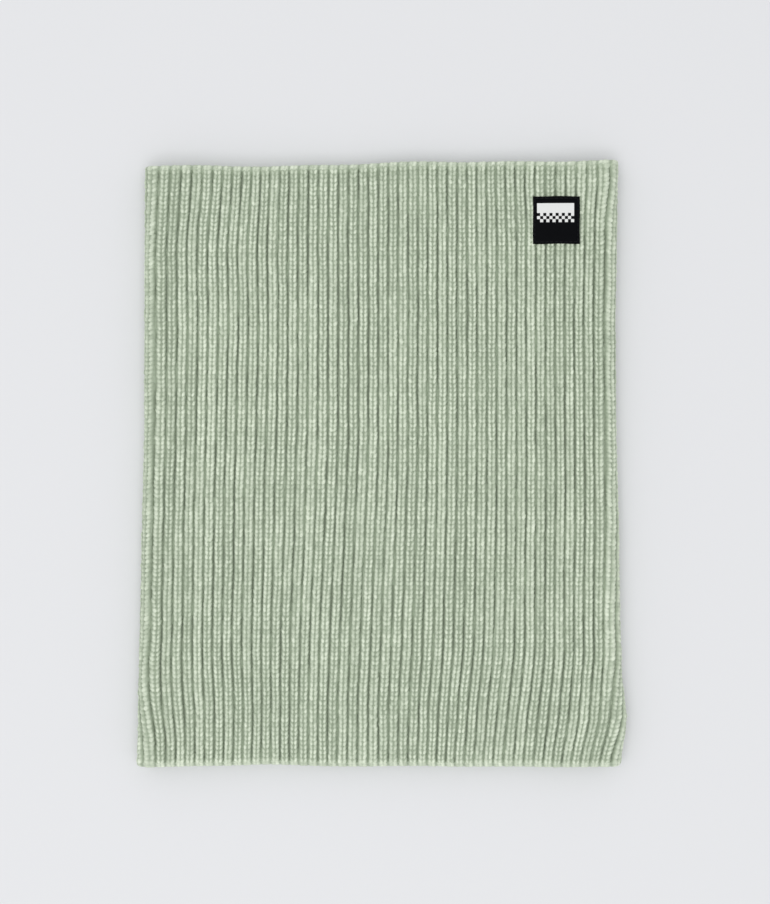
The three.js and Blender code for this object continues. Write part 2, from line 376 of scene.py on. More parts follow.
@dataclass(frozen=True)
class WovenDamask:
    """Polyester damask label cloth, woven black with a white field floated on top.

    It gives the eye a fine ribbed black ground with a faint sheen, and a crisp white field whose edges
    step from thread to thread. The field ends below in three rows of plain checks.
    """

    name: str = "woven_polyester_damask"
    black: str = "030405"
    black_high: str = "0c0d11"
    white: str = "f2f3f1"
    white_low: str = "d5d7d6"
    pick_mm: float = 0.32  # real picks are about 0.15 mm apart; drawn coarse enough to show
    end_mm: float = 0.512  # the warp's threads, which lie further apart than the picks
    field_left_mm: float = -9.7
    field_right_mm: float = 8.8
    field_top_mm: float = 8.4
    field_bottom_mm: float = -1.1
    checks_across: int = 12
    check_rows: int = 3

    def build(self, centre: tuple[float, float]) -> bpy.types.Material:
        """Makes the material.

        Args:
            centre: X and Y of the label's middle, in metres.

        Returns:
            The label cloth's material.
        """
        material, tree = new_material(self.name)
        place = add_node(tree, "ShaderNodeTexCoord").outputs["Object"]
        from_middle = {"Vector": place, "Location": (-centre[0], -centre[1], 0.0)}
        local = add_node(tree, "ShaderNodeMapping", from_middle).outputs[0]
        in_mm = {"Vector": local, "Scale": (1 / MM, 1 / MM, 0.0)}
        local_mm = add_node(tree, "ShaderNodeMapping", in_mm).outputs[0]
        axes = add_node(tree, "ShaderNodeSeparateXYZ", {0: local_mm})
        across, along = axes.outputs[0], axes.outputs[1]

        # White where the field is plain or a check is, and inside the field's four sides.
        check_mm = (self.field_right_mm - self.field_left_mm) / self.checks_across
        corner = (-self.field_left_mm, -self.field_bottom_mm, 0.5 * check_mm)
        from_corner = add_node(tree, "ShaderNodeMapping", {"Vector": local_mm, "Location": corner}).outputs[0]
        squares = {"Vector": from_corner, "Scale": 1 / check_mm}
        checks = add_node(tree, "ShaderNodeTexChecker", squares).outputs["Fac"]
        checks_top_mm = self.field_bottom_mm + self.check_rows * check_mm
        above = {0: along, 1: checks_top_mm}
        plain = add_node(tree, "ShaderNodeMath", above, operation="GREATER_THAN").outputs[0]
        white = add_node(tree, "ShaderNodeMath", {0: plain, 1: checks}, operation="MAXIMUM").outputs[0]
        for value, way, limit in (
            (across, "GREATER_THAN", self.field_left_mm),
            (across, "LESS_THAN", self.field_right_mm),
            (along, "GREATER_THAN", self.field_bottom_mm),
            (along, "LESS_THAN", self.field_top_mm),
        ):
            inside = add_node(tree, "ShaderNodeMath", {0: value, 1: limit}, operation=way).outputs[0]
            white = add_node(tree, "ShaderNodeMath", {0: white, 1: inside}, operation="MULTIPLY").outputs[0]

        weave = 0.0
        for way, spacing_mm, weight in (("Y", self.pick_mm, 0.65), ("X", self.end_mm, 0.35)):
            scale = wave_scale(spacing_mm)
            laid = {"Vector": local_mm, "Scale": scale, "Distortion": 0.35, "Detail Scale": 3.0}
            threads = add_node(tree, "ShaderNodeTexWave", laid, bands_direction=way).outputs["Fac"]
            summed = {0: threads, 1: weight, 2: weave}
            weave = add_node(tree, "ShaderNodeMath", summed, operation="MULTIPLY_ADD").outputs[0]
        ground, figure = (
            add_node(
                tree, "ShaderNodeMix", {0: weave, 6: linear(low), 7: linear(high)}, data_type="RGBA"
            ).outputs[2]
            for low, high in ((self.black, self.black_high), (self.white_low, self.white))
        )
        woven = {0: white, 6: ground, 7: figure}
        colour = add_node(tree, "ShaderNodeMix", woven, data_type="RGBA").outputs[2]
        look = {"Base Color": colour, "Roughness": 0.6, "IOR": 1.5, "Specular IOR Level": 0.04}
        return finish_surface(material, weave, 0.5, 0.08, look)


@dataclass(frozen=True)
class SewingThread:
    """Spun polyester sewing thread, dyed black, with a soft gleam along each stitch."""

    name: str = "spun_polyester_sewing_thread"
    base: str = "0c0d10"
    high: str = "1e1f24"
    twist_mm: float = 0.35

    def build(self) -> bpy.types.Material:
        """Makes the thread's material, with its twist as slanted bands."""
        material, tree = new_material(self.name)
        place = add_node(tree, "ShaderNodeTexCoord").outputs["Object"]
        bands = {"Vector": place, "Scale": wave_scale(self.twist_mm * MM)}
        twist = add_node(tree, "ShaderNodeTexWave", bands, bands_direction="DIAGONAL").outputs["Fac"]
        ends = {0: twist, 6: linear(self.base), 7: linear(self.high)}
        colour = add_node(tree, "ShaderNodeMix", ends, data_type="RGBA").outputs[2]
        look = {"Base Color": colour, "Roughness": 0.5, "IOR": 1.5, "Specular IOR Level": 0.15}
        return finish_surface(material, twist, 0.6, 0.06, look)


@dataclass(frozen=True)
class SatinTape:
    """White polyester satin tape, slit and folded: smooth, a little shiny, with a fine weave line."""

    name: str = "woven_polyester_satin_tape"
    base: str = "e4e4de"
    high: str = "f4f4ef"
    thread_mm: float = 0.4
    cloud_mm: float = 6.0  # the soft patches in its shine

    def build(self) -> bpy.types.Material:
        """Makes the tape's material."""
        material, tree = new_material(self.name)
        place = add_node(tree, "ShaderNodeTexCoord").outputs["Object"]
        bands = {"Vector": place, "Scale": wave_scale(self.thread_mm * MM), "Distortion": 0.4}
        weave = add_node(tree, "ShaderNodeTexWave", bands, bands_direction="Y").outputs["Fac"]
        patches = {"Vector": place, "Scale": 1 / (self.cloud_mm * MM), "Detail": 2.0, "Roughness": 0.6}
        cloud = add_node(tree, "ShaderNodeTexNoise", patches).outputs[0]
        shine = add_node(tree, "ShaderNodeMath", {0: weave, 1: cloud}, operation="MULTIPLY").outputs[0]
        ends = {0: shine, 6: linear(self.base), 7: linear(self.high)}
        colour = add_node(tree, "ShaderNodeMix", ends, data_type="RGBA").outputs[2]
        look = {"Base Color": colour, "Roughness": 0.38, "IOR": 1.5, "Sheen Weight": 0.1}
        return finish_surface(material, weave, 0.25, 0.05, look)


@dataclass(frozen=True)
class PaintedBoard:
    """Smooth board painted matt pale grey, which the gaiter lies on."""

    name: str = "matt_painted_board"
    colour: str = "e3e4e6"
    roller_mm: float = 1.5  # the dimples that a paint roller leaves

    def build(self) -> bpy.types.Material:
        """Makes the board's material, with a very faint roller texture."""
        material, tree = new_material(self.name)
        place = add_node(tree, "ShaderNodeTexCoord").outputs["Object"]
        dimples = {"Vector": place, "Scale": 1 / (self.roller_mm * MM), "Detail": 2.0, "Roughness": 0.6}
        roller = add_node(tree, "ShaderNodeTexNoise", dimples).outputs[0]
        look = {"Base Color": linear(self.colour), "Roughness": 0.75, "Specular IOR Level": 0.2}
        return finish_surface(material, roller, 0.04, 0.05, look)


# ---- The tube as it lies --------------------------------------------------------------------------


class End(Enum):
    """The two open ends of the tube, with the way out of each along Y."""

    TOP = 1
    BOTTOM = -1


@dataclass
class LaidTube:
    """The flat tube as a smooth form: where each rib and row of the cloth lies, before any stitches.

    A place on the cloth is given by a rib number, counted round from the seam in the middle of the
    back towards +X, and a height along the tube. The sizes come from the CAD pieces.
    """

    top_half: float  # middle to fold at the top edge
    bottom_half: float  # middle to fold where the flare is widest
    low: float  # bottom end along Y
    high: float  # top end along Y
    height: float  # outside of the back layer to outside of the front layer
    wall: float = 4 * MM
    ribs: int = 96
    flare_length: float = 180 * MM
    sag: float = 1.9 * MM  # of the front layer between the folds
    full_fold: float = 1.2 * MM  # makes up for the roundness of the rib at each fold
    wander_ribs: float = 0.022  # how far one wave of a rib's own wandering moves it, in ribs
    wander_waves: tuple[float, ...] = (29 * MM, 67 * MM, 140 * MM)
    seed: int = 11

    # Where a hand moved the ribs aside: how far towards +X, then the middle and the spread of the
    # place, across and along, all in mm.
    pushes: tuple[tuple[float, float, float, float, float], ...] = (
        (-1.3, 48, 30, -118, 30),
        (-1.2, 50, 28, -150, 14),
        (0.9, -80, 24, -122, 28),
        (-1.3, -118, 14, -113, 16),
        (1.8, 116, 18, 142, 14),
        (-0.8, 70, 20, 142, 14),
        (-0.7, -65, 35, -8, 28),
        (0.8, -80, 35, 72, 30),
    )

    @classmethod
    def from_cad(cls) -> "LaidTube":
        """Takes the tube's sizes from the CAD pieces.

        Returns:
            The tube's form.
        """
        panel_low, panel_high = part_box("rib_panel")
        edge_low, edge_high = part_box("top_cast_off_edge")
        bottom_edge_low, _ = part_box("bottom_cast_on_edge")
        inset = edge_low.z - panel_low.z
        return cls(
            top_half=edge_high.x + inset,
            bottom_half=panel_high.x,
            low=bottom_edge_low.y,
            high=edge_high.y,
            height=panel_high.z - panel_low.z,
        )

    def __post_init__(self) -> None:
        """Works out the radii and draws each rib's own way of wandering."""
        self.mid_radius = (self.height - self.wall) / 2
        draw = np.random.default_rng(self.seed)
        size = (self.ribs, len(self.wander_waves))
        self.wander_phase = draw.uniform(0, 2 * math.pi, size)
        self.wander_size = draw.uniform(0.4, 1.0, size)

    def share_up(self, y: np.ndarray) -> np.ndarray:
        """Turns a height into a share of the tube's length, 0 at the bottom end."""
        return (y - self.low) / (self.high - self.low)

    def reach(self, y: np.ndarray) -> np.ndarray:
        """Gives the distance from the middle to each fold of an evenly flared tube."""
        rise = smoothstep(self.low + self.flare_length, self.low, y)
        return self.top_half + (self.bottom_half - self.top_half) * rise

    def strays(self, y: np.ndarray) -> tuple[np.ndarray, np.ndarray]:
        """Gives how far outwards the left and the right fold lie from those of an even tube."""
        share = self.share_up(y)
        left = np.interp(
            share,
            [0.0, 0.05, 0.12, 0.24, 0.4, 0.57, 0.74, 0.9, 1.0],
            [0.6, 0.1, 0.3, 0.4, 1.0, 0.75, 0.75, 0.5, 0.3],
        )
        right = np.interp(
            share,
            [0.0, 0.03, 0.055, 0.08, 0.11, 0.15, 0.24, 0.4, 0.57, 0.74, 0.9, 1.0],
            [-2.8, -1.5, -0.1, 0.5, -0.3, -1.3, -1.5, -0.6, -1.0, -1.4, -0.5, 0.1],
        )
        return left * MM, right * MM

    def drift(self, x: np.ndarray, y: np.ndarray) -> np.ndarray:
        """Gives how far the front's ribs lie to the side of where an even tube has them.

        Args:
            x: where the rib would lie, across the tube.
            y: height along the tube.

        Returns:
            Distance towards +X, in metres.
        """
        x_mm, y_mm = x / MM, y / MM
        # The lower half leans to the left, and its two bottom corners are drawn in.
        lean = -2.4 * smoothstep(-118, -10, x_mm) - 1.7 * hump(x_mm, -18, 34)
        drawn_in = 2.8 * hump(x_mm, -118, 28) - 6.4 * smoothstep(-20, 118, x_mm)
        lower = lean * smoothstep(20, -110, y_mm) + drawn_in * smoothstep(-92, -157, y_mm)
        # The left of the top end leans to the right.
        upper = 2.8 * hump(x_mm, -85, 34) * smoothstep(102, 150, y_mm)
        # The whole front has slipped round the tube a little, less so near the bottom.
        low_down = smoothstep(-90, -125, y_mm)
        turned = 1.45 + 1.6 * smoothstep(-78, -5, x_mm) * (1 - low_down) + 0.6 * low_down
        pushed = sum(
            push * hump(x_mm, at_x, wide) * hump(y_mm, at_y, tall)
            for push, at_x, wide, at_y, tall in self.pushes
        )
        return (lower + upper + turned + pushed) * MM

    def place(self, rib: np.ndarray, y: np.ndarray, offset: np.ndarray) -> np.ndarray:
        """Finds points on or beside the middle of the cloth.

        Args:
            rib: rib numbers, whole at the grooves.
            y: heights along the tube.
            offset: distances outwards from the middle of the cloth.

        Returns:
            Points, with a last axis of three.
        """
        rib, y, offset = np.broadcast_arrays(rib, y, offset)
        reach = self.reach(y)
        half = reach - self.height / 2
        rib = rib + self.wander(rib, y)
        even = (4 * half + 2 * math.pi * self.mid_radius) * rib / self.ribs
        x_even, _ = self.section(even, half, np.zeros_like(offset))
        # Behind, the ribs pass evenly from where the front leaves them at one fold to the other.
        at_right, at_left = -self.drift(reach, y), -self.drift(-reach, y)
        from_left = ((rib - 0.75 * self.ribs) % self.ribs) / (self.ribs / 2)
        behind = at_left + (at_right - at_left) * smoothstep(0, 1, from_left)
        in_front = (rib >= 0.25 * self.ribs) & (rib <= 0.75 * self.ribs)
        slip = np.where(in_front, -self.drift(x_even, y), behind)
        x, z = self.section(even + slip, half, offset)
        left, right = self.strays(y)
        stray = np.where(x > 0, right, -left) * smoothstep(0.55, 1.0, np.abs(x) / reach)
        bulge = np.sign(x) * self.full_fold * smoothstep(-2 * MM, 6 * MM, np.abs(x) - half)
        x = x + stray + bulge
        front = smoothstep(self.height * 0.3, self.height * 0.65, z)
        # The board presses the lowest stitches flat.
        laid = np.maximum(z - self.dip(x, y) * front, 0.0)
        return np.stack([x, y + self.slant(x, y, front), laid], axis=-1)

    def wander(self, rib: np.ndarray, y: np.ndarray) -> np.ndarray:
        """Gives how far each rib strays from its even place, in ribs, smooth from rib to rib."""
        before = np.floor(rib - 0.5)
        share = smoothstep(0.1, 0.9, rib - 0.5 - before)
        total = 0.0
        for number, part in ((before.astype(int), 1 - share), (before.astype(int) + 1, share)):
            number = number % self.ribs
            for i, wave in enumerate(self.wander_waves):
                swing = np.sin(2 * math.pi * y / wave + self.wander_phase[number, i])
                total = total + part * self.wander_size[number, i] * swing
        return self.wander_ribs * total

    def section(self, s: np.ndarray, half: np.ndarray, offset: np.ndarray) -> tuple[np.ndarray, np.ndarray]:
        """Walks round the flat tube's section.

        Args:
            s: distance round the middle of the cloth from the seam.
            half: half the straight run between the folds.
            offset: distance outwards from the middle of the cloth.

        Returns:
            X from the middle of the section, and Z.
        """
        radius = self.mid_radius
        arc = math.pi * radius
        round_it = 4 * half + 2 * arc
        s = np.mod(s, round_it)
        reach = radius + offset
        centre = self.height / 2
        right_angle = np.clip((s - half) / radius, 0, math.pi) - math.pi / 2
        left_angle = np.clip((s - 3 * half - arc) / radius, 0, math.pi) + math.pi / 2
        # From the seam: the right of the back, the right fold, the front, the left fold.
        stretches = [s <= half, s <= half + arc, s <= 3 * half + arc, s <= 3 * half + 2 * arc]
        x_right, z_right = half + reach * np.cos(right_angle), centre + reach * np.sin(right_angle)
        x_left, z_left = reach * np.cos(left_angle) - half, centre + reach * np.sin(left_angle)
        x = np.select(stretches, [s, x_right, 2 * half + arc - s, x_left], s - round_it)
        z = np.select(stretches, [centre - reach, z_right, centre + reach, z_left], centre - reach)
        return x, z

    def dip(self, x: np.ndarray, y: np.ndarray) -> np.ndarray:
        """Gives how far the front layer lies below its full height, from sag and soft waves."""
        x_mm, y_mm = x / MM, y / MM
        between = 1 - np.clip(np.abs(x) / self.top_half, 0, 1) ** 3.5
        to_end = np.minimum(y - self.low, self.high - y) / MM
        droop = 0.9 * smoothstep(16, 0, to_end)
        wave = (
            0.62 * np.sin(x_mm / 24.0 + 0.6) * np.sin(y_mm / 31.0 + 1.9)
            + 0.26 * np.sin(x_mm / 11.5 + y_mm / 47.0)
            + 0.22 * np.sin(x_mm / 17.0 - y_mm / 15.0 + 0.8)
        )
        return between * (self.sag + (droop + wave) * MM)

    def slant(self, x: np.ndarray, y: np.ndarray, front: np.ndarray) -> np.ndarray:
        """Gives how far the rows lie along the tube from where an even tube has them."""
        x_mm = x / MM
        share = self.share_up(y)
        top = smoothstep(0.72, 1.0, share)
        bottom = smoothstep(0.2, 0.0, share)
        tilt = -0.4 + 1.7 * smoothstep(-60, 70, x_mm) - 1.0 * smoothstep(40, -118, x_mm)
        ripple = 0.25 * np.sin(x_mm / 8.3) + 0.3 * np.sin(x_mm / 19.0 + 1.0)
        front_part = top * (tilt + ripple) + bottom * (0.6 * ripple - 1.1 + 1.2 * hump(x_mm, -58, 20))
        back_part = top * (-0.9 + 0.3 * ripple) - bottom * 0.35
        return (front * front_part + (1 - front) * back_part) * MM

    def front_height(self, x: np.ndarray, y: np.ndarray) -> np.ndarray:
        """Gives Z of the front's rib crests at a place away from the folds."""
        return self.height - self.dip(x, y)


# ---- The gaiter's pieces --------------------------------------------------------------------------


@dataclass
class StitchDraws:
    """Every random number of the knit, drawn once and in one order."""

    seed: int
    ribs: int
    courses: int  # those of the cloth, with a few to spare at both ends

    def __post_init__(self) -> None:
        """Draws them all."""
        ribs, courses = self.ribs, self.courses
        self.draw = np.random.default_rng(self.seed)
        self.legs = self.draw.normal(0, 1, (ribs, 2, courses, 6)).clip(-2.2, 2.2)
        self.rib_tone = self.draw.normal(0, 1, ribs)
        self.course_tone = self.draw.normal(0, 1, courses)
        self.leg_run_tone = self.runs((2, ribs, courses), 0.88)
        # How strongly each stretch of knit shows the legs' painted highlight and shade.
        self.crispness = self.runs((ribs, courses), 0.9).clip(-1.5, 1.8)
        self.furrow = self.runs((ribs, courses), 0.8)
        self.groove_lean = self.runs((ribs, courses), 0.93)

    def runs(self, size: tuple[int, ...], keep: float) -> np.ndarray:
        """Draws numbers that change slowly from course to course along each rib.

        Args:
            size: numbers wanted, with the courses last.
            keep: share of each course's number that the next one keeps.

        Returns:
            Numbers round 0 with a spread of about 1.
        """
        made = self.draw.normal(0, 1, size)
        for i in range(1, size[-1]):
            made[..., i] = keep * made[..., i - 1] + math.sqrt(1 - keep**2) * made[..., i]
        return made


@dataclass(frozen=True)
class Leg:
    """One of a stitch's two legs: its even shape, and how far one leg differs from the next."""

    offset: float = 0.228  # of the rib pitch, from the rib's middle to the leg's middle
    tilt: float = math.radians(15)
    half_width: float = 0.98 * MM
    half_length: float = 1.72 * MM
    crown: float = 1.25 * MM  # from the crest down to the sides
    squareness: float = 2.6  # of its ends, where 2 would be an oval's
    tuck: float = 0.42 * MM  # how far its top end slopes under the next leg
    below_crest: float = 0.18 * MM  # an even leg's crest, under the highest that a leg may reach
    ply_length: float = 1.3 * MM  # one turn of its yarn's twist
    ply_slant: float = 0.55

    slide_spread: float = 0.09 * MM
    shift_spread: float = 0.075 * MM
    tilt_spread: float = 0.07
    width_spread: float = 0.05
    lift_spread: float = 0.12 * MM

    # A leg's colour holds a painted highlight a little below its middle, with painted shade towards its ends
    # and sides; the spreads are its own tone, differing at random.
    bead_highlight: float = 0.62  # painted highlight: the tone of its palest place, before the differences between legs
    highlight_at: float = -0.36  # of the painted highlight, along the leg, as a share of its half length
    end_shade_fall: float = 2.4  # how fast painted shade darkens the leg towards its ends
    side_shade_fall: float = 2.0
    crisp_shade_fall: float = 1.3  # what a crisp stretch of knit adds to both painted shades
    crisp_highlight: float = 0.2
    tone_spread: float = 0.42
    run_spread: float = 0.26
    rib_spread: float = 0.18
    course_spread: float = 0.15


@dataclass
class RibPanel:
    """The one-by-one rib cloth: an outer skin of raised stitches and a plainer ribbed inner skin."""

    tube: LaidTube
    leg: Leg = field(default_factory=Leg)
    rib_pitch: float = 4.95 * MM
    courses: int = 137
    spare_courses: int = 2  # beyond each end, for the legs that reach over it
    rows_per_course: int = 5
    quick_rows_per_course: int = 3
    bed: float = 1.25 * MM  # cloth under the legs, below their crests
    groove: float = 2.4 * MM
    groove_lip: float = 0.115  # of the rib pitch, from the groove's middle to where it opens
    groove_floor: float = 0.01  # half the width of its floor, also of the pitch
    groove_stray: float = 0.03  # how far its middle strays, also of the pitch
    furrow_depth: float = 0.3  # how much the groove's depth varies, as a share
    under_edge: float = 1.2 * MM  # from the tube's end to the panel's, which lies under the edge's crest
    end_drop: float = 0.45 * MM
    seam_channel: float = 1.0 * MM
    inner_groove: float = 1.1 * MM  # from the middle of the cloth to the inner skin's grooves
    inner_rib: float = 0.9 * MM  # how far the inner skin's ribs stand beyond those
    seed: int = 5

    # Places of the grid's columns across one rib, closer together beside the grooves.
    front_samples: tuple[float, ...] = (
        -0.5, -0.465, -0.43, -0.39, -0.34, -0.26, -0.17, -0.08,
        0.0, 0.08, 0.17, 0.26, 0.34, 0.39, 0.43, 0.465,
    )
    under_samples: tuple[float, ...] = (-0.5, -0.4, -0.26, -0.1, 0.0, 0.1, 0.26, 0.4)

    def columns(self) -> np.ndarray:
        """Gives the rib numbers of the grid's columns, closer together where the cloth shows."""
        found = []
        for rib in range(self.tube.ribs):
            shows = self.tube.ribs * 0.2 < rib < self.tube.ribs * 0.8
            found += [rib + 0.5 + a for a in (self.front_samples if shows else self.under_samples)]
        return np.array(found)

    def drawn_course(self, course: np.ndarray) -> np.ndarray:
        """Gives the place of whole course numbers among the drawn ones, as a column."""
        last = self.courses + 2 * self.spare_courses - 1
        return np.clip(course + self.spare_courses, 0, last)[:, None]

    def stitches(self, rib: np.ndarray, course: np.ndarray) -> dict[str, np.ndarray]:
        """Raises the stitches' legs over the cloth.

        Args:
            rib: rib numbers of the columns.
            course: course numbers of the rows.

        Returns:
            Height over the crest's level (all below 0), with the tone and twist of the yarn there.
        """
        leg = self.leg
        draws = StitchDraws(self.seed, self.tube.ribs, self.courses + 2 * self.spare_courses)
        course_height = (self.tube.high - self.tube.low) / self.courses
        number = (np.floor(rib).astype(int) % self.tube.ribs)[None, :]
        share_across = (rib - np.floor(rib) - 0.5)[None, :]
        from_middle = share_across * self.rib_pitch
        own_course = np.floor(course).astype(int)

        # The grooves, each between two ribs.
        boundary = (np.rint(rib).astype(int) % self.tube.ribs, self.drawn_course(own_course))
        furrow = draws.furrow[boundary]
        from_boundary = (rib - np.rint(rib))[None, :] - self.groove_stray * draws.groove_lean[boundary]
        opening = smoothstep(self.groove_lip, self.groove_floor, np.abs(from_boundary))
        uneven = 1 - self.furrow_depth * furrow.clip(-1.5, 1.5)
        height = -self.bed - (self.groove - self.bed) * uneven * opening
        in_furrow = smoothstep(0.3, 0.42, np.abs(share_across))
        rib_tone = draws.rib_tone[number]
        # The grooves' painted shade lightens where a groove is shallower; outside them each rib keeps its own
        # random tone.
        tone = furrow * in_furrow + 0.4 * rib_tone * (1 - in_furrow)
        twist = np.zeros_like(tone)

        # The legs, each of which may reach over the courses above and below its own.
        for hand, side in enumerate((-1, 1)):
            for step in (-1, 0, 1):
                which = own_course + step
                drawn = self.drawn_course(which)
                slide, shift, lean, swell, lift, shade = np.moveaxis(draws.legs[number, hand, drawn], -1, 0)
                along = (course - which - 0.5)[:, None] * course_height - leg.slide_spread * slide
                across = from_middle - side * leg.offset * self.rib_pitch - leg.shift_spread * shift
                tilt = side * (leg.tilt + leg.tilt_spread * lean)
                u = (across * np.cos(tilt) - along * np.sin(tilt)) / leg.half_width
                v = (across * np.sin(tilt) + along * np.cos(tilt)) / leg.half_length
                room = 1 - u**2 / (1 + leg.width_spread * swell) - np.abs(v) ** leg.squareness
                rise = leg.crown * (np.sqrt(np.maximum(room, 0)) - 1) - leg.tuck * v
                rise = rise + leg.lift_spread * lift - leg.below_crest
                wins = (room > 0) & (rise > height)
                height = np.where(wins, rise, height)

                crisp = draws.crispness[number, drawn]
                between = leg.tone_spread * shade + leg.run_spread * draws.leg_run_tone[hand, number, drawn]
                between = between + leg.rib_spread * rib_tone + leg.course_spread * draws.course_tone[drawn]
                # Painted shade darkens each leg towards its ends and sides, round its painted highlight.
                end_shade_fall = (leg.end_shade_fall + leg.crisp_shade_fall * crisp) * (v - leg.highlight_at) ** 2
                side_shade_fall = (leg.side_shade_fall + leg.crisp_shade_fall * crisp) * u**2
                leg_tone_and_shade = leg.bead_highlight + leg.crisp_highlight * crisp + between - end_shade_fall - side_shade_fall
                tone = np.where(wins, leg_tone_and_shade, tone)
                turns = v * leg.half_length / leg.ply_length + side * leg.ply_slant * u
                twist = np.where(wins, 2 * math.pi * turns, twist)
        return {"height": height, "tone": tone, "twist": twist}

    def mesh(self) -> Shape:
        """Builds the closed cloth.

        Returns:
            Both skins, joined at the two ends, with the bake map and the yarn's point values.
        """
        rib = self.columns()
        per_course = self.rows_per_course
        rows, inner_rows = self.courses * per_course + 1, self.courses + 1
        ends = (self.tube.low + self.under_edge, self.tube.high - self.under_edge)
        y = np.linspace(*ends, rows)
        course = (y - self.tube.low) / (self.tube.high - self.tube.low) * self.courses
        made = self.stitches(rib, course)
        to_end = np.minimum(y - self.tube.low, self.tube.high - y)[:, None]
        # The finished edge holds the last stitches together, so the grooves run out there.
        held = smoothstep(5.0 * MM, 1.6 * MM, to_end)
        drop = self.end_drop * smoothstep(2.4 * MM, self.under_edge, to_end)
        height = made["height"] * (1 - 0.5 * held) - drop
        outer = self.tube.place(rib[None, :], y[:, None], self.tube.wall / 2 + height)

        inner_y = np.linspace(*ends, inner_rows)
        depth = self.inner_groove + self.inner_rib * np.abs(np.cos(math.pi * rib)) ** 0.7
        from_seam = np.minimum(rib, self.tube.ribs - rib) * self.rib_pitch
        depth = depth - self.seam_channel * smoothstep(2.2 * MM, 0.9 * MM, from_seam)
        inner = self.tube.place(rib[None, :], inner_y[:, None], -depth[None, :])

        columns = len(rib)
        count_out, count_in = rows * columns, inner_rows * columns
        quads_out = grid_quads(rows, columns)[:, ::-1]
        quads_in = grid_quads(inner_rows, columns) + count_out
        at = np.arange(columns)
        after = (at + 1) % columns
        first_in, last_out = count_out, (rows - 1) * columns
        last_in = count_out + (inner_rows - 1) * columns
        rim_low = np.stack([at, after, first_in + after, first_in + at], axis=-1)
        rim_high = np.stack([last_out + at, last_in + at, last_in + after, last_out + after], axis=-1)
        quads = np.concatenate([quads_out, quads_in, rim_low, rim_high])

        zeros = np.zeros(count_in)
        return Shape(
            np.concatenate([outer.reshape(-1, 3), inner.reshape(-1, 3)]),
            quads,
            corner_uv=self.bake_map(rows, inner_rows, columns),
            values={
                "tone": np.concatenate([made["tone"].ravel(), zeros]),
                # The inner skin's relief of 0.5 gives it the yarn's painted flank shade all over.
                "relief": np.concatenate([(1 + height / self.groove).ravel(), zeros + 0.5]),
                "twist": np.concatenate([made["twist"].ravel(), zeros]),
            },
        )

    @staticmethod
    def bake_map(rows: int, inner_rows: int, columns: int) -> np.ndarray:
        """Lays the skins and rims out flat, in the order of the cloth's faces.

        Args:
            rows: rows of points of the outer skin.
            inner_rows: rows of points of the inner skin.
            columns: points round the tube.

        Returns:
            U and V of every face corner.
        """

        def strip(count: int, low: float, high: float) -> np.ndarray:
            """Maps a grid of count rows of points to the band from low to high."""
            row, column = np.meshgrid(np.arange(count - 1), np.arange(columns), indexing="ij")
            u0, u1 = column / columns, (column + 1) / columns
            v0 = low + (high - low) * row / (count - 1)
            v1 = low + (high - low) * (row + 1) / (count - 1)
            corners = [np.stack(pair, axis=-1) for pair in ((u0, v0), (u1, v0), (u1, v1), (u0, v1))]
            return np.stack(corners, axis=-2).reshape(-1, 4, 2)

        bands = [
            strip(rows, 0.2, 0.999)[:, ::-1],
            strip(inner_rows, 0.02, 0.195),
            strip(2, 0.001, 0.008),
            strip(2, 0.010, 0.017)[:, [0, 3, 2, 1]],
        ]
        return np.concatenate(bands).reshape(-1, 2)

    def dress(self, shape: Shape, yarn: bpy.types.Material) -> None:
        obj = shape.piece("knitted_rib_tube", yarn, "rib_knit")
        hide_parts("rib_panel")


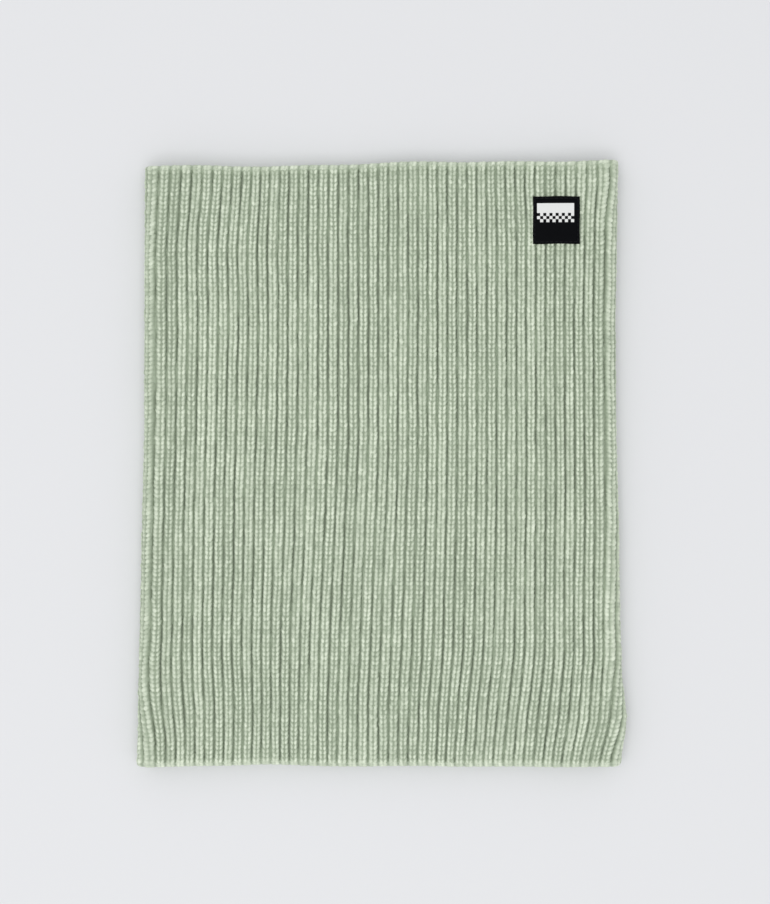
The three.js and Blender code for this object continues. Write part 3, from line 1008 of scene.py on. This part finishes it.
@dataclass
class FinishedEdge:
    """The rounded edge of the tube at one end, where each last stitch is locked by the next."""

    tube: LaidTube
    end: End
    proud: float = 1.85 * MM  # half its thickness, across the cloth
    reach: float = 1.55 * MM  # half its width, along the tube
    links_per_rib: int = 2
    columns_per_link: int = 7
    sides: int = 26
    slant: float = 0.1  # of a link, which leans as it goes round
    notch: float = 0.34  # depth between two links, as a share of the radius
    leg_share: float = 0.36  # of the notch's depth that parts two links of one rib
    shoulder: float = 0.1  # how much fuller its section is between crest and sides
    size_spread: float = 0.035
    tone: float = 0.5
    tone_spread: float = 0.6
    twists_per_link: float = 1.8
    seed: int = 23

    def mesh(self) -> Shape:
        """Builds the edge as a closed ring of slanted links.

        Returns:
            The ring, with the yarn's point values.
        """
        links = self.tube.ribs * self.links_per_rib
        columns = links * self.columns_per_link
        draw = np.random.default_rng(self.seed + self.end.value)
        own_size = draw.normal(0, self.size_spread, links + 1)
        own_tone = draw.normal(0, self.tone_spread, links + 1)
        rib = np.arange(columns) / (self.columns_per_link * self.links_per_rib)
        angle = np.linspace(0, 2 * math.pi, self.sides, endpoint=False)[:, None]
        turn = rib[None, :] * self.links_per_rib + self.slant * np.sin(angle) * self.end.value
        number = np.floor(turn).astype(int) % links
        link = np.sqrt(np.abs(np.sin(math.pi * turn)))
        whole_rib = np.sqrt(np.abs(np.sin(math.pi * turn / self.links_per_rib)))
        lump = self.leg_share * link + (1 - self.leg_share) * whole_rib
        scale = (1 + own_size[number]) * (1 - self.notch * (1 - lump))
        middle = self.tube.high - self.reach if self.end is End.TOP else self.tube.low + self.reach
        y = middle + self.reach * scale * np.sin(angle)
        fullness = 1 + self.shoulder * np.sin(angle) ** 2
        points = self.tube.place(rib[None, :], y, self.proud * scale * np.cos(angle) * fullness)
        count = self.sides * columns
        quads = grid_quads(self.sides + 1, columns) % count
        values = {
            "tone": (self.tone + own_tone[number]).ravel(),
            # The notches between links, low in relief, take the yarn's painted groove shade.
            "relief": lump.ravel(),
            "twist": (2 * math.pi * (turn * self.twists_per_link + angle / 2)).ravel(),
        }
        return Shape(points.reshape(-1, 3), quads[:, ::-1], values=values)

    def dress(self, shape: Shape, yarn: bpy.types.Material) -> None:
        """Makes the piece in place of its plain ring."""
        name = "cast_off_edge" if self.end is End.TOP else "cast_on_edge"
        obj = shape.piece(name, yarn, "edge_yarn")
        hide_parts("top_cast_off_edge" if self.end is End.TOP else "bottom_cast_on_edge")


@dataclass
class BackSeam:
    """The chain of yarn that links the panel's two selvedges, with close stitches over each end."""

    links: int = 74
    points_per_link: int = 12
    yarn_radius: float = 0.42 * MM
    swing: float = 0.78 * MM  # of each of the chain's two yarns to both sides
    rise: float = 0.32 * MM  # of each, over and under the other
    tack_passes: int = 21
    points_per_pass: int = 9
    tack_radius: float = 0.26 * MM
    tack_short: float = 1.0 * MM  # how much shorter each tack is than its block, at the tube's end
    core_places: tuple[float, ...] = (-1.9 * MM, 0.0, 1.9 * MM)  # of the lengthwise yarns, across
    core_sink: float = 0.2 * MM  # of those yarns, into the cloth
    dive: float = 0.65 * MM  # how deep each pass enters the cloth at its ends
    bow: float = 0.85 * MM  # how far it rises from there over the lengthwise yarns

    def chain(self) -> Shape:
        """Builds the chain as two yarns that cross once a link."""
        low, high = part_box("back_seam_yarn")
        centre = (low + high) / 2
        t = np.arange(self.links * self.points_per_link + 1) / self.points_per_link
        y = low.y + self.yarn_radius + (high.y - low.y - 2 * self.yarn_radius) * t / self.links
        strands = []
        for start in (0.0, 0.5):
            turn = 2 * math.pi * (t + start)
            x = centre.x + self.swing * np.sin(turn)
            z = centre.z + self.rise * np.cos(turn)
            strands.append(strand(np.stack([x, y, z], axis=-1), self.yarn_radius))
        return joined(strands)

    def tack(self, node: str) -> Shape:
        """Builds one bartack.

        Args:
            node: the CAD piece that it stands for.

        Returns:
            Close crosswise stitches over three yarns that run lengthwise.
        """
        low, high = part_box(node)
        centre, size = (low + high) / 2, high - low
        # The tack stops short of the end, where the finished edge falls away under it.
        middle_y = centre.y - math.copysign(self.tack_short / 2, centre.y)
        length = size.y - self.tack_short
        along = middle_y + np.linspace(-0.5, 0.5, 16) * (length - 1.0 * MM)
        paths = []
        for place in self.core_places:
            level = (centre.x + place, along, low.z - self.core_sink)
            paths.append(np.stack(np.broadcast_arrays(*level), axis=-1))
        t = np.arange(self.tack_passes * self.points_per_pass + 1) / self.points_per_pass
        angle = (2 * np.abs(t % 2 - 1) - 1) * math.pi / 2
        x = centre.x + (size.x / 2 - 0.3 * MM) * np.sin(angle)
        y = middle_y + (t / self.tack_passes - 0.5) * (length - 0.5 * MM)
        z = low.z - self.dive + self.bow * np.cos(angle) ** 0.6
        paths.append(np.stack([x, y, z], axis=-1))
        return joined([strand(path, self.tack_radius) for path in paths])

    def dress(self, yarn: bpy.types.Material) -> None:
        """Makes the chain and both bartacks in place of their plain blocks."""
        chain = self.chain().piece("seam_chain_yarn", yarn, "edge_yarn")
        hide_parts("back_seam_yarn")
        for node in ("top_bartack", "bottom_bartack"):
            obj = self.tack(node).piece(f"{node}_stitches", yarn, "edge_yarn")
            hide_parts(node)


@dataclass
class FrontLabel:
    """The small woven label on the front, pulled down a little along its line of stitches."""

    tube: LaidTube
    thickness: float = 0.6 * MM
    sink: float = 0.12 * MM  # how far it presses into the ribs
    grid: float = 0.26 * MM
    stitch_inset: float = 0.95 * MM
    stitch_length: float = 2.35 * MM
    stitch_gap: float = 0.32 * MM
    thread_radius: float = 0.15 * MM
    thread_proud: float = 0.08 * MM  # of each stitch's middle, above the cloth
    thread_dive: float = 0.34 * MM  # from there down to its ends, in the needle holes
    pull: float = 0.26 * MM  # how far the stitches draw the cloth down
    pull_spread: float = 0.55 * MM
    rib_show: float = 0.07 * MM  # how far the ribs below show through
    rib_spacing: float = 5 * MM
    puff: float = 0.2 * MM
    soft_wave: float = 0.06 * MM
    edge_wave: float = 0.12 * MM  # of the upper and lower edge, along the tube
    side_wave: float = 0.1 * MM
    fold_radius: float = 0.3 * MM

    def __post_init__(self) -> None:
        """Takes the label's place from its CAD piece."""
        low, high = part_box("woven_label")
        self.centre = ((low.x + high.x) / 2, (low.y + high.y) / 2)
        self.size = (high.x - low.x, high.y - low.y)

    def from_side(self, across: np.ndarray, along: np.ndarray) -> np.ndarray:
        """Gives how far places, given from the label's middle, lie in from its nearest side."""
        return np.minimum(self.size[0] / 2 - np.abs(across), self.size[1] / 2 - np.abs(along))

    def top(self, x: np.ndarray, y: np.ndarray) -> np.ndarray:
        """Gives Z of the label's upper side at places on it."""
        a, b = x - self.centre[0], y - self.centre[1]
        from_side = self.from_side(a, b)
        inside = smoothstep(self.stitch_inset, 5 * MM, from_side)
        lift = inside * (self.puff + self.rib_show * np.cos(2 * math.pi * a / self.rib_spacing))
        soft = self.soft_wave * np.sin(a / (4.1 * MM) + 0.7) * np.sin(b / (3.3 * MM))
        sewn = self.pull * hump(from_side, self.stitch_inset, self.pull_spread)
        return self.tube.front_height(x, y) - self.sink + self.thickness + lift + soft - sewn

    def cloth(self) -> Shape:
        """Builds the label's cloth as a thin closed sheet with rounded folded edges."""
        counts = [int(round(s / self.grid)) + 1 for s in self.size]
        x = np.linspace(-0.5, 0.5, counts[0]) * self.size[0]
        y = np.linspace(-0.5, 0.5, counts[1]) * self.size[1]
        gx, gy = np.meshgrid(x, y)
        # The edges waver a little, which dies away inwards.
        near_side, near_edge = ((2 * np.abs(g) / size) ** 8 for g, size in zip((gx, gy), self.size))
        px = self.centre[0] + gx + self.side_wave * np.sin(gy / (3.4 * MM)) * near_side
        py = self.centre[1] + gy + self.edge_wave * np.sin(gx / (2.9 * MM) + 1.1) * near_edge
        inwards = np.clip(self.from_side(gx, gy) / (0.4 * MM), 0, 1)
        rounded = self.fold_radius * (1 - np.sqrt(inwards))
        upper = self.top(self.centre[0] + gx, self.centre[1] + gy)
        return slab(
            np.stack([px, py, upper - rounded], axis=-1),
            np.stack([px, py, upper - self.thickness + 0.5 * rounded], axis=-1),
        )

    def thread(self) -> Shape:
        """Builds the line of separate lockstitches round the label."""
        half = [s / 2 - self.stitch_inset for s in self.size]
        corners = np.array([[-1, -1], [1, -1], [1, 1], [-1, 1]]) * half
        strands = []
        t = np.linspace(0, 1, 11)
        over_cloth = self.thread_proud - self.thread_dive * np.abs(2 * t - 1) ** 5
        for start, end in zip(corners, np.roll(corners, -1, axis=0)):
            run = float(np.linalg.norm(end - start))
            count = round(run / self.stitch_length)
            pitch = run / count
            for i in range(count):
                far = i * pitch + self.stitch_gap / 2 + t * (pitch - self.stitch_gap)
                x, y = (self.centre + start + np.outer(far / run, end - start)).T
                path = np.stack([x, y, self.top(x, y) + over_cloth], axis=-1)
                strands.append(strand(path, self.thread_radius))
        return joined(strands)

    def dress(self, cloth: bpy.types.Material, thread: bpy.types.Material) -> None:
        """Makes the label and its thread in place of their plain blocks."""
        label = self.cloth().piece("woven_front_label", cloth, "label_cloth")
        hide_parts("woven_label")
        line = self.thread().piece("label_lockstitches", thread, "label_thread")
        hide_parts("label_thread")


@dataclass
class CareLabel:
    """The blank folded satin strip that is caught in the seam, inside the tube."""

    ply: float = 0.24 * MM
    gap: float = 0.02 * MM  # from its bend to the space that it has, above and below
    wave: float = 0.05 * MM
    steps_along: int = 60
    steps_across: int = 40

    def mesh(self) -> tuple[Shape, tuple[float, float]]:
        """Builds the strip: out from the seam, round its fold, and back.

        Returns:
            The strip, with its length and width when it is flat.
        """
        low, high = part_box("care_label")
        bend = (high.z - low.z - self.ply) / 2 - self.gap
        run = high.x - low.x - bend - self.ply
        length = 2 * run + math.pi * bend
        s = np.linspace(0, length, self.steps_along)
        angle = np.clip((s - run) / bend, 0, math.pi) - math.pi / 2
        x = np.where(s < run, s, np.where(s > run + math.pi * bend, length - s, run + bend * np.cos(angle)))
        z = (low.z + high.z) / 2 + bend * np.sin(angle)
        y = np.linspace(low.y, high.y, self.steps_across)
        wave = self.wave * np.sin(y / (5 * MM))[:, None] * np.sin(math.pi * s / length)[None, :]
        inner, outer = (
            np.stack(
                np.broadcast_arrays(
                    low.x + x + side * self.ply * np.cos(angle),
                    y[:, None],
                    z + side * self.ply * np.sin(angle) + wave,
                ),
                axis=-1,
            )
            for side in (-0.5, 0.5)
        )
        return slab(inner, outer), (float(length), float(high.y - low.y))

    def dress(self, satin: bpy.types.Material) -> None:
        """Makes the strip in place of its plain block."""
        shape, flat = self.mesh()
        obj = shape.piece("care_label_strip", satin, "care_satin")
        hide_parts("care_label")


@dataclass
class NeckGaiter:
    """The whole gaiter, built piece by piece on one laid form."""

    tube: LaidTube = field(default_factory=LaidTube.from_cad)

    def build(self) -> None:
        """Builds and dresses every piece."""
        yarn = SpunYarn().build()
        panel = RibPanel(self.tube)
        panel.dress(panel.mesh(), yarn)
        for end in End:
            edge = FinishedEdge(self.tube, end)
            edge.dress(edge.mesh(), yarn)
        BackSeam().dress(yarn)
        label = FrontLabel(self.tube)
        label.dress(WovenDamask().build(label.centre), SewingThread().build())
        CareLabel().dress(SatinTape().build())


# ---- The studio -----------------------------------------------------------------------------------


@dataclass(frozen=True)
class Softbox:
    """A square soft lamp that faces the gaiter."""

    name: str
    position: tuple[float, float, float]
    size: float  # side of its face
    watts: float

    def hang(self) -> None:
        """Hangs the lamp and turns it to the middle of the board."""
        data = bpy.data.lights.new(self.name, "AREA")
        data.shape = "SQUARE"
        data.size = self.size
        data.energy = self.watts
        lamp = bpy.data.objects.new(self.name, data)
        lamp.location = self.position
        lamp.rotation_euler = (-lamp.location).to_track_quat("-Z", "Y").to_euler()
        bpy.context.collection.objects.link(lamp)


@dataclass
class Studio:
    """A pale board under soft light, seen from straight above."""

    middle: tuple[float, float] = (1.5 * MM, 6.0 * MM)
    field_width: float = 385 * MM  # at the gaiter's upper side
    gaiter_height: float = 14 * MM
    lens: float = 88.0
    sensor: float = 36.0
    softboxes: tuple[Softbox, ...] = (
        Softbox("key_softbox", (-0.1, -0.58, 2.35), size=2.2, watts=22.0),
        Softbox("side_softbox", (-1.3, 0.3, 2.0), size=1.5, watts=4.0),
    )
    room_colour: str = "f6f6f7"
    room_strength: float = 0.755
    board_half: float = 3.0

    def place_camera(self) -> None:
        """Sets the camera straight above, with the tube's top edge upwards."""
        data = bpy.data.cameras.new("overhead_camera")
        data.sensor_fit = "HORIZONTAL"
        data.sensor_width = self.sensor
        data.lens = self.lens
        camera = bpy.data.objects.new("overhead_camera", data)
        camera.location = (*self.middle, self.gaiter_height + self.field_width * self.lens / self.sensor)
        bpy.context.collection.objects.link(camera)
        bpy.context.scene.camera = camera

    def light_room(self) -> None:
        """Hangs the lamps and sets the room's own pale light."""
        for softbox in self.softboxes:
            softbox.hang()
        world = bpy.data.worlds.new("pale_room")
        world.use_nodes = True
        shade = world.node_tree.nodes["Background"]
        shade.inputs["Color"].default_value = linear(self.room_colour)
        shade.inputs["Strength"].default_value = self.room_strength
        bpy.context.scene.world = world
        bpy.context.scene.view_settings.view_transform = "Standard"

    def lay_board(self) -> None:
        """Lays the board that the gaiter lies on."""
        half = self.board_half
        mesh = bpy.data.meshes.new("board")
        corners = [(-half, -half, 0.0), (half, -half, 0.0), (half, half, 0.0), (-half, half, 0.0)]
        mesh.from_pydata(corners, [], [(0, 1, 2, 3)])
        mesh.materials.append(PaintedBoard().build())
        board = bpy.data.objects.new("board", mesh)
        bpy.context.collection.objects.link(board)

    def build(self) -> None:
        """Sets up the camera, the lights and the board."""
        self.place_camera()
        self.light_room()
        self.lay_board()


def main() -> None:
    """Builds the studio and the gaiter."""
    logging.basicConfig(level=logging.INFO, format="%(name)s: %(message)s")
    Studio().build()
    NeckGaiter().build()


if __name__ == "__main__":
    main()
